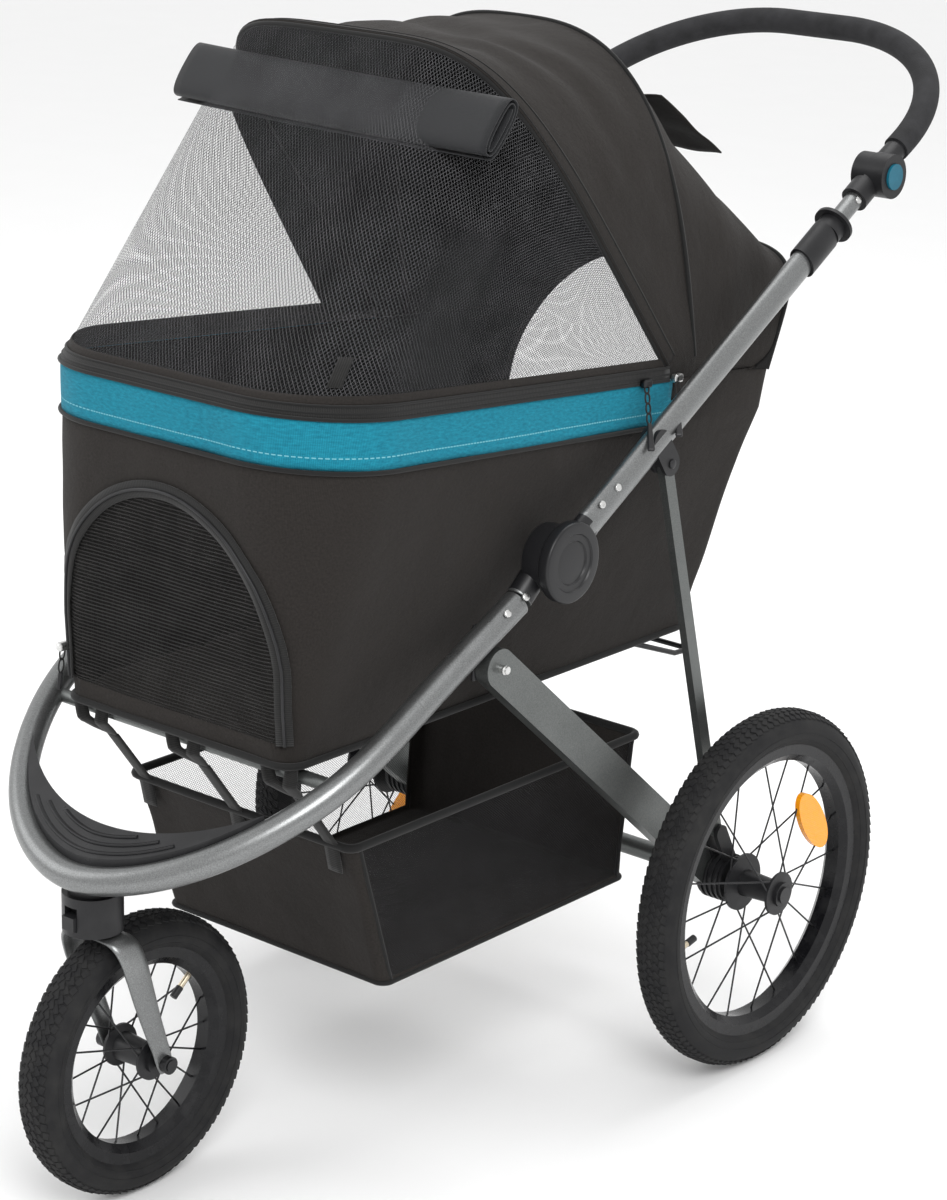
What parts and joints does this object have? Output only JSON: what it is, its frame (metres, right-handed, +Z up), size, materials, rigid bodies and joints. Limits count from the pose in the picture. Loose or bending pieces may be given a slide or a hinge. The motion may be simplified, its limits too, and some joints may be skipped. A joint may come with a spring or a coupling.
{
  "type": "pet stroller",
  "caption": "Folding pet stroller with a swivelling front wheel, large spoked rear wheels, a zipped cloth cabin with netting canopy, a tilting loop handle and a cloth basket.",
  "frame": {"origin": "on the floor, in the middle of the whole width and length", "axes": "+Z up; -Y is the way it is pushed, so the front wheel is at -Y and the handle at +Y; +X is the pusher's left"},
  "size_m": [0.628, 1.262, 1.122],
  "materials": {
    "frame_tube": "satin",
    "black_moulding": "satin",
    "zinc": "brushed",
    "black_metal": "satin",
    "black_cloth": "matt",
    "shade_cloth": "smooth",
    "teal_cloth": "matt",
    "netting": "open mesh",
    "foam": "matt",
    "teal_moulding": "satin",
    "reflector": "gloss",
    "tyre": "matt",
    "gloss_black": "gloss"
  },
  "bodies": {
    "lower_frame": {"lower_tube": "frame_tube", "hub_bases": "black_moulding", "hub_pins": "zinc", "leg_brackets": "black_moulding", "leg_pins": "zinc", "basket_straps": "black_cloth", "footrest": "black_moulding", "caster_housing": "black_moulding", "cross_tube": "frame_tube", "basket": "black_cloth", "floor_wire": "black_metal", "cabin_tub": "black_cloth", "cabin_band": "teal_cloth", "canopy_netting": "netting", "canopy_cloth": "black_cloth", "rear_window": "netting", "front_door": "netting", "floor_pad": "black_cloth", "sun_flap": "shade_cloth", "rear_flap": "black_cloth", "zip_pulls": "black_moulding"},
    "swivel_lock": {"swivel_lock": "black_moulding"},
    "fork": {"fork": "frame_tube", "front_axle": "zinc"},
    "front_wheel": {"front_tyre": "tyre", "front_rim": "gloss_black", "front_hub": "gloss_black", "front_spokes": "black_metal"},
    "rear_frame": {"axle_bar": "frame_tube", "axle_sleeves": "black_moulding", "axle_stubs": "zinc", "rear_legs": "frame_tube"},
    "brake": {"brake_pedal": "black_moulding"},
    "struts": {"struts": "frame_tube"},
    "upper_frame": {"upper_tubes": "frame_tube", "hub_caps": "black_moulding", "strut_brackets": "black_moulding", "strut_pins": "zinc", "tube_guides": "black_moulding", "handle_stems": "frame_tube", "handle_housings": "black_moulding"},
    "handle": {"grip": "foam", "handle_tube": "black_metal", "handle_arms": "black_moulding"},
    "rear_wheel_left": {"rear_left_tyre": "tyre", "rear_left_rim": "gloss_black", "rear_left_hub": "gloss_black", "rear_left_spokes": "black_metal", "reflector_left": "reflector"},
    "wheel_button_left": {"wheel_button_left": "black_moulding"},
    "handle_button_left": {"handle_button_left": "teal_moulding"},
    "fold_collar_left": {"fold_collar_left": "black_moulding"},
    "rear_wheel_right": {"rear_right_tyre": "tyre", "rear_right_rim": "gloss_black", "rear_right_hub": "gloss_black", "rear_right_spokes": "black_metal", "reflector_right": "reflector"},
    "wheel_button_right": {"wheel_button_right": "black_moulding"},
    "handle_button_right": {"handle_button_right": "teal_moulding"},
    "fold_collar_right": {"fold_collar_right": "black_moulding"}
  },
  "joints": [
    {"name": "frame_fold", "type": "hinge", "parent": "lower_frame", "child": "upper_frame", "pos_m": [0, -0.12997, 0.63], "axis": [1, 0, 0], "range_deg": [0, 80]},
    {"name": "leg_fold", "type": "hinge", "parent": "lower_frame", "child": "rear_frame", "pos_m": [0, -0.20297, 0.532], "axis": [1, 0, 0], "range_deg": [0, 47.5]},
    {"name": "strut_fold", "type": "hinge", "parent": "upper_frame", "child": "struts", "pos_m": [0, 0.03903, 0.697], "axis": [1, 0, 0], "range_deg": [-31.5, 0]},
    {"name": "handle_tilt", "type": "hinge", "parent": "upper_frame", "child": "handle", "pos_m": [0, 0.39703, 0.95], "axis": [1, 0, 0], "range_deg": [-60, 45]},
    {"name": "fork_swivel", "type": "hinge", "parent": "lower_frame", "child": "fork", "pos_m": [0, -0.54097, 0.292], "axis": [0, 0, 1], "continuous": true},
    {"name": "front_wheel_spin", "type": "hinge", "parent": "fork", "child": "front_wheel", "pos_m": [0, -0.48497, 0.146], "axis": [1, 0, 0], "continuous": true},
    {"name": "swivel_lock_slide", "type": "slide", "parent": "lower_frame", "child": "swivel_lock", "axis": [0, 0, 1], "range_m": [0, 0.008]},
    {"name": "brake_press", "type": "hinge", "parent": "rear_frame", "child": "brake", "pos_m": [0, 0.18203, 0.2], "axis": [1, 0, 0], "range_deg": [-20, 0]},
    {"name": "rear_wheel_spin_left", "type": "hinge", "parent": "rear_frame", "child": "rear_wheel_left", "pos_m": [0.2775, 0.18203, 0.2], "axis": [1, 0, 0], "continuous": true},
    {"name": "wheel_button_press_left", "type": "slide", "parent": "rear_wheel_left", "child": "wheel_button_left", "axis": [-1, 0, 0], "range_m": [0, 0.003], "stiffness_N_per_m": 600, "springref_m": -0.002},
    {"name": "handle_button_press_left", "type": "slide", "parent": "upper_frame", "child": "handle_button_left", "axis": [-1, 0, 0], "range_m": [0, 0.004], "stiffness_N_per_m": 800, "springref_m": -0.002},
    {"name": "fold_collar_pull_left", "type": "slide", "parent": "upper_frame", "child": "fold_collar_left", "axis": [0, 0.8548, 0.519], "range_m": [0, 0.014], "stiffness_N_per_m": 300, "springref_m": -0.004},
    {"name": "rear_wheel_spin_right", "type": "hinge", "parent": "rear_frame", "child": "rear_wheel_right", "pos_m": [-0.2775, 0.18203, 0.2], "axis": [1, 0, 0], "continuous": true},
    {"name": "wheel_button_press_right", "type": "slide", "parent": "rear_wheel_right", "child": "wheel_button_right", "axis": [1, 0, 0], "range_m": [0, 0.003], "stiffness_N_per_m": 600, "springref_m": -0.002},
    {"name": "handle_button_press_right", "type": "slide", "parent": "upper_frame", "child": "handle_button_right", "axis": [1, 0, 0], "range_m": [0, 0.004], "stiffness_N_per_m": 800, "springref_m": -0.002},
    {"name": "fold_collar_pull_right", "type": "slide", "parent": "upper_frame", "child": "fold_collar_right", "axis": [0, 0.8548, 0.519], "range_m": [0, 0.014], "stiffness_N_per_m": 300, "springref_m": -0.004}
  ],
  "couplings": [
    {"joint": "leg_fold", "follows": "frame_fold", "ratio": 0.5906},
    {"joint": "strut_fold", "follows": "frame_fold", "ratio": -0.3854}
  ]
}
